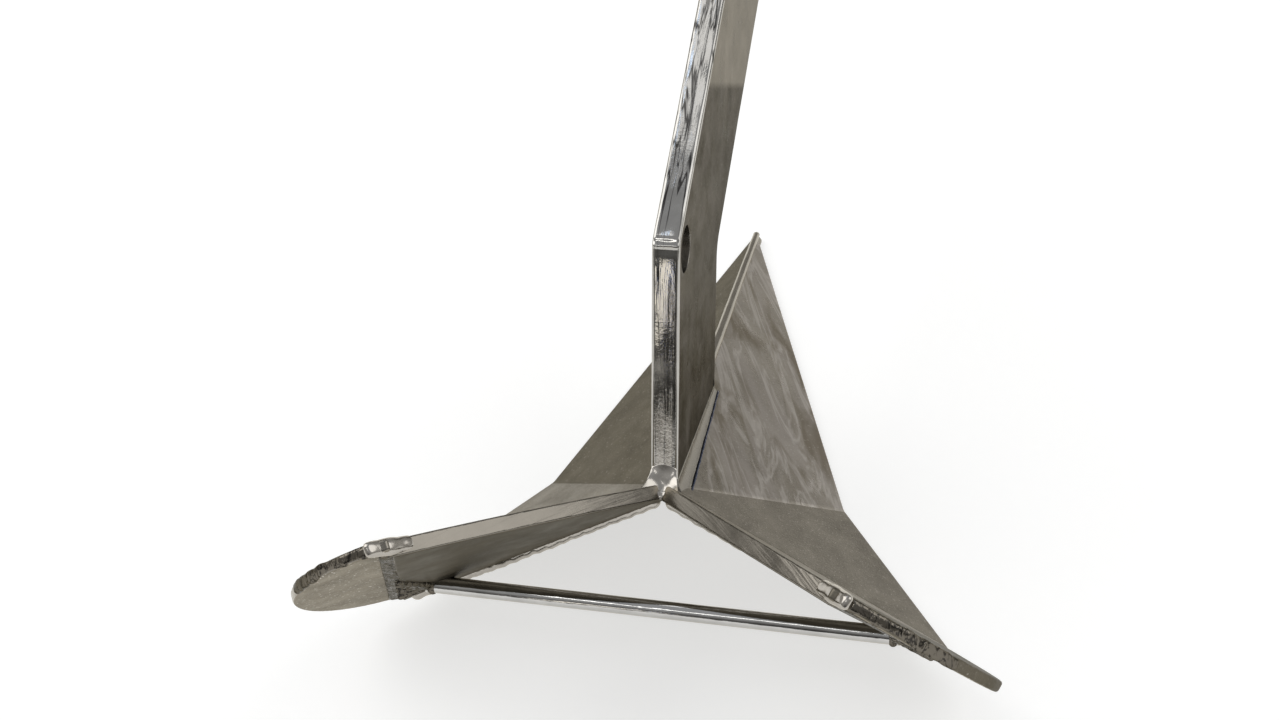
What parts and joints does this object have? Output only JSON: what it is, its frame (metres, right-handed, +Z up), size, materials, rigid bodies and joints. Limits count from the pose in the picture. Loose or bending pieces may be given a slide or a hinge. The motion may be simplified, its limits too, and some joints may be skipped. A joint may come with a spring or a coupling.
{
  "type": "boat anchor",
  "caption": "Fixed-shank plough anchor of welded stainless plate: bent shank with trip and shackle eyes, folded fluke, turned-up tail plates with half-oval ears, and a tie rod.",
  "frame": {"origin": "centre of the bounding box at the floor the anchor stands on", "axes": "+X to the anchor's right side, +Y from heel to tip, +Z up, standing on its blade edges"},
  "size_m": [0.3002, 0.6504, 0.3089],
  "materials": {
    "shank_steel": "satin side faces with polished edge faces",
    "blade_steel": "satin, smeared polish in front and grainy behind the fold",
    "polished_steel": "mirror polished",
    "blasted_steel": "bead blasted with polished edge",
    "weld_bead": "bright rippled weld metal",
    "ballast_steel": "dull"
  },
  "bodies": {
    "root": {"shank": "shank_steel", "blade_right": "blade_steel", "blade_left": "blade_steel", "tail_plate_right": "polished_steel", "tail_plate_left": "polished_steel", "tie_rod": "polished_steel", "ear_right": "blasted_steel", "ear_left": "blasted_steel", "nose_ballast": "ballast_steel", "ridge_weld": "weld_bead", "heel_weld": "weld_bead", "foot_weld_right": "weld_bead", "foot_weld_left": "weld_bead", "seam_weld_right": "weld_bead", "seam_weld_left": "weld_bead", "ear_weld_right": "weld_bead", "ear_weld_left": "weld_bead", "rod_weld_right": "weld_bead", "rod_weld_left": "weld_bead"}
  },
  "joints": []
}
